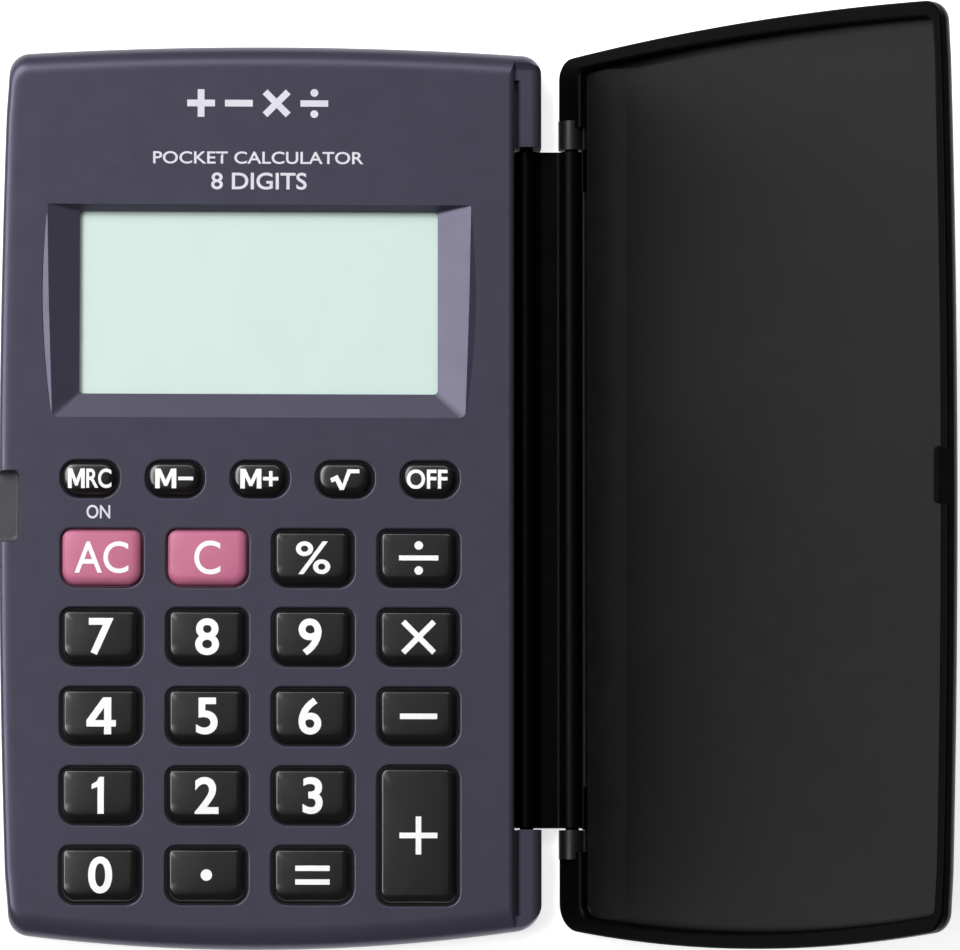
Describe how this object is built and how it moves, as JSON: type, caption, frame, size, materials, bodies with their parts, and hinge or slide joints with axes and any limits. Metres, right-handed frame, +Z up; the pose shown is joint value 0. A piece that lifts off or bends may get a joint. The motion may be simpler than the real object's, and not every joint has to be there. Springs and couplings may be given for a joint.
{
  "type": "pocket calculator",
  "caption": "Pocket calculator with a recessed display, domed keys and a hard cover that folds right round on a double hinge.",
  "frame": {"origin": "on the table, under the middle of the body's plan (without the cover)", "axes": "+Z up out of the keys, +X across the body towards the hinge, +Y along the body towards the display"},
  "size_m": [0.1288, 0.127, 0.0604],
  "materials": {
    "face_plastic": "fine satin texture, violet grey",
    "back_plastic": "fine satin texture, dark grey",
    "door_plastic": "fine satin texture, dark grey",
    "window": "clear acrylic",
    "liquid_crystal": "pale green, satin polariser",
    "reflector": "diffuse silver film",
    "ribbon": "amber film with printed lines",
    "board": "green solder mask",
    "resin": "black epoxy",
    "capacitors": "ceramic with tinned ends",
    "screw_steel": "bright zinc",
    "silicone": "translucent grey silicone",
    "carbon": "carbon filled",
    "cell_steel": "nickel plated",
    "contact_steel": "nickel plated spring strip",
    "key_black": "glossy black with white legend",
    "key_pink": "glossy rose with white legend",
    "link_plastic": "satin black",
    "cover_plastic": "satin black"
  },
  "bodies": {
    "base": {"upper_case": "face_plastic", "lower_case": "back_plastic", "display_window": "window", "lcd_panel": "liquid_crystal", "lcd_reflector": "reflector", "display_ribbon": "ribbon", "circuit_board": "board", "controller_chip": "resin", "chip_parts": "capacitors", "board_screws": "screw_steel", "case_screws": "screw_steel", "key_mat": "silicone", "contact_pills": "carbon", "button_cell": "cell_steel", "battery_contact_negative": "contact_steel", "battery_contact_positive": "contact_steel"},
    "link": {"hinge_link": "link_plastic"},
    "cover": {"cover": "cover_plastic"},
    "battery_door": {"battery_door": "door_plastic"},
    "key_recall": {"key_recall": "key_black"},
    "key_memory_minus": {"key_memory_minus": "key_black"},
    "key_memory_plus": {"key_memory_plus": "key_black"},
    "key_root": {"key_root": "key_black"},
    "key_off": {"key_off": "key_black"},
    "key_all_clear": {"key_all_clear": "key_pink"},
    "key_clear": {"key_clear": "key_pink"},
    "key_percent": {"key_percent": "key_black"},
    "key_divide": {"key_divide": "key_black"},
    "key_7": {"key_7": "key_black"},
    "key_8": {"key_8": "key_black"},
    "key_9": {"key_9": "key_black"},
    "key_times": {"key_times": "key_black"},
    "key_4": {"key_4": "key_black"},
    "key_5": {"key_5": "key_black"},
    "key_6": {"key_6": "key_black"},
    "key_minus": {"key_minus": "key_black"},
    "key_1": {"key_1": "key_black"},
    "key_2": {"key_2": "key_black"},
    "key_3": {"key_3": "key_black"},
    "key_plus": {"key_plus": "key_black"},
    "key_0": {"key_0": "key_black"},
    "key_point": {"key_point": "key_black"},
    "key_equals": {"key_equals": "key_black"}
  },
  "joints": [
    {"name": "link_hinge", "type": "hinge", "parent": "base", "child": "link", "pos_m": [0.036, 0, 0.002], "axis": [0, -1, 0], "range_deg": [-90, 90]},
    {"name": "cover_hinge", "type": "hinge", "parent": "link", "child": "cover", "pos_m": [0.0424, 0, 0.002], "axis": [0, -1, 0], "range_deg": [-140, 40]},
    {"name": "battery_door_turn", "type": "hinge", "parent": "base", "child": "battery_door", "pos_m": [-0.014, 0.0524, 0.001], "axis": [0, 0, 1], "range_deg": [0, 60]},
    {"name": "key_recall_press", "type": "slide", "parent": "base", "child": "key_recall", "axis": [0, 0, -1], "range_m": [0, 0.0008], "stiffness_N_per_m": 300, "springref_m": -0.0003, "deforming": ["key_mat", "contact_pills"]},
    {"name": "key_memory_minus_press", "type": "slide", "parent": "base", "child": "key_memory_minus", "axis": [0, 0, -1], "range_m": [0, 0.0008], "stiffness_N_per_m": 300, "springref_m": -0.0003, "deforming": ["key_mat", "contact_pills"]},
    {"name": "key_memory_plus_press", "type": "slide", "parent": "base", "child": "key_memory_plus", "axis": [0, 0, -1], "range_m": [0, 0.0008], "stiffness_N_per_m": 300, "springref_m": -0.0003, "deforming": ["key_mat", "contact_pills"]},
    {"name": "key_root_press", "type": "slide", "parent": "base", "child": "key_root", "axis": [0, 0, -1], "range_m": [0, 0.0008], "stiffness_N_per_m": 300, "springref_m": -0.0003, "deforming": ["key_mat", "contact_pills"]},
    {"name": "key_off_press", "type": "slide", "parent": "base", "child": "key_off", "axis": [0, 0, -1], "range_m": [0, 0.0008], "stiffness_N_per_m": 300, "springref_m": -0.0003, "deforming": ["key_mat", "contact_pills"]},
    {"name": "key_all_clear_press", "type": "slide", "parent": "base", "child": "key_all_clear", "axis": [0, 0, -1], "range_m": [0, 0.0008], "stiffness_N_per_m": 300, "springref_m": -0.0003, "deforming": ["key_mat", "contact_pills"]},
    {"name": "key_clear_press", "type": "slide", "parent": "base", "child": "key_clear", "axis": [0, 0, -1], "range_m": [0, 0.0008], "stiffness_N_per_m": 300, "springref_m": -0.0003, "deforming": ["key_mat", "contact_pills"]},
    {"name": "key_percent_press", "type": "slide", "parent": "base", "child": "key_percent", "axis": [0, 0, -1], "range_m": [0, 0.0008], "stiffness_N_per_m": 300, "springref_m": -0.0003, "deforming": ["key_mat", "contact_pills"]},
    {"name": "key_divide_press", "type": "slide", "parent": "base", "child": "key_divide", "axis": [0, 0, -1], "range_m": [0, 0.0008], "stiffness_N_per_m": 300, "springref_m": -0.0003, "deforming": ["key_mat", "contact_pills"]},
    {"name": "key_7_press", "type": "slide", "parent": "base", "child": "key_7", "axis": [0, 0, -1], "range_m": [0, 0.0008], "stiffness_N_per_m": 300, "springref_m": -0.0003, "deforming": ["key_mat", "contact_pills"]},
    {"name": "key_8_press", "type": "slide", "parent": "base", "child": "key_8", "axis": [0, 0, -1], "range_m": [0, 0.0008], "stiffness_N_per_m": 300, "springref_m": -0.0003, "deforming": ["key_mat", "contact_pills"]},
    {"name": "key_9_press", "type": "slide", "parent": "base", "child": "key_9", "axis": [0, 0, -1], "range_m": [0, 0.0008], "stiffness_N_per_m": 300, "springref_m": -0.0003, "deforming": ["key_mat", "contact_pills"]},
    {"name": "key_times_press", "type": "slide", "parent": "base", "child": "key_times", "axis": [0, 0, -1], "range_m": [0, 0.0008], "stiffness_N_per_m": 300, "springref_m": -0.0003, "deforming": ["key_mat", "contact_pills"]},
    {"name": "key_4_press", "type": "slide", "parent": "base", "child": "key_4", "axis": [0, 0, -1], "range_m": [0, 0.0008], "stiffness_N_per_m": 300, "springref_m": -0.0003, "deforming": ["key_mat", "contact_pills"]},
    {"name": "key_5_press", "type": "slide", "parent": "base", "child": "key_5", "axis": [0, 0, -1], "range_m": [0, 0.0008], "stiffness_N_per_m": 300, "springref_m": -0.0003, "deforming": ["key_mat", "contact_pills"]},
    {"name": "key_6_press", "type": "slide", "parent": "base", "child": "key_6", "axis": [0, 0, -1], "range_m": [0, 0.0008], "stiffness_N_per_m": 300, "springref_m": -0.0003, "deforming": ["key_mat", "contact_pills"]},
    {"name": "key_minus_press", "type": "slide", "parent": "base", "child": "key_minus", "axis": [0, 0, -1], "range_m": [0, 0.0008], "stiffness_N_per_m": 300, "springref_m": -0.0003, "deforming": ["key_mat", "contact_pills"]},
    {"name": "key_1_press", "type": "slide", "parent": "base", "child": "key_1", "axis": [0, 0, -1], "range_m": [0, 0.0008], "stiffness_N_per_m": 300, "springref_m": -0.0003, "deforming": ["key_mat", "contact_pills"]},
    {"name": "key_2_press", "type": "slide", "parent": "base", "child": "key_2", "axis": [0, 0, -1], "range_m": [0, 0.0008], "stiffness_N_per_m": 300, "springref_m": -0.0003, "deforming": ["key_mat", "contact_pills"]},
    {"name": "key_3_press", "type": "slide", "parent": "base", "child": "key_3", "axis": [0, 0, -1], "range_m": [0, 0.0008], "stiffness_N_per_m": 300, "springref_m": -0.0003, "deforming": ["key_mat", "contact_pills"]},
    {"name": "key_plus_press", "type": "slide", "parent": "base", "child": "key_plus", "axis": [0, 0, -1], "range_m": [0, 0.0008], "stiffness_N_per_m": 300, "springref_m": -0.0003, "deforming": ["key_mat", "contact_pills"]},
    {"name": "key_0_press", "type": "slide", "parent": "base", "child": "key_0", "axis": [0, 0, -1], "range_m": [0, 0.0008], "stiffness_N_per_m": 300, "springref_m": -0.0003, "deforming": ["key_mat", "contact_pills"]},
    {"name": "key_point_press", "type": "slide", "parent": "base", "child": "key_point", "axis": [0, 0, -1], "range_m": [0, 0.0008], "stiffness_N_per_m": 300, "springref_m": -0.0003, "deforming": ["key_mat", "contact_pills"]},
    {"name": "key_equals_press", "type": "slide", "parent": "base", "child": "key_equals", "axis": [0, 0, -1], "range_m": [0, 0.0008], "stiffness_N_per_m": 300, "springref_m": -0.0003, "deforming": ["key_mat", "contact_pills"]}
  ]
}
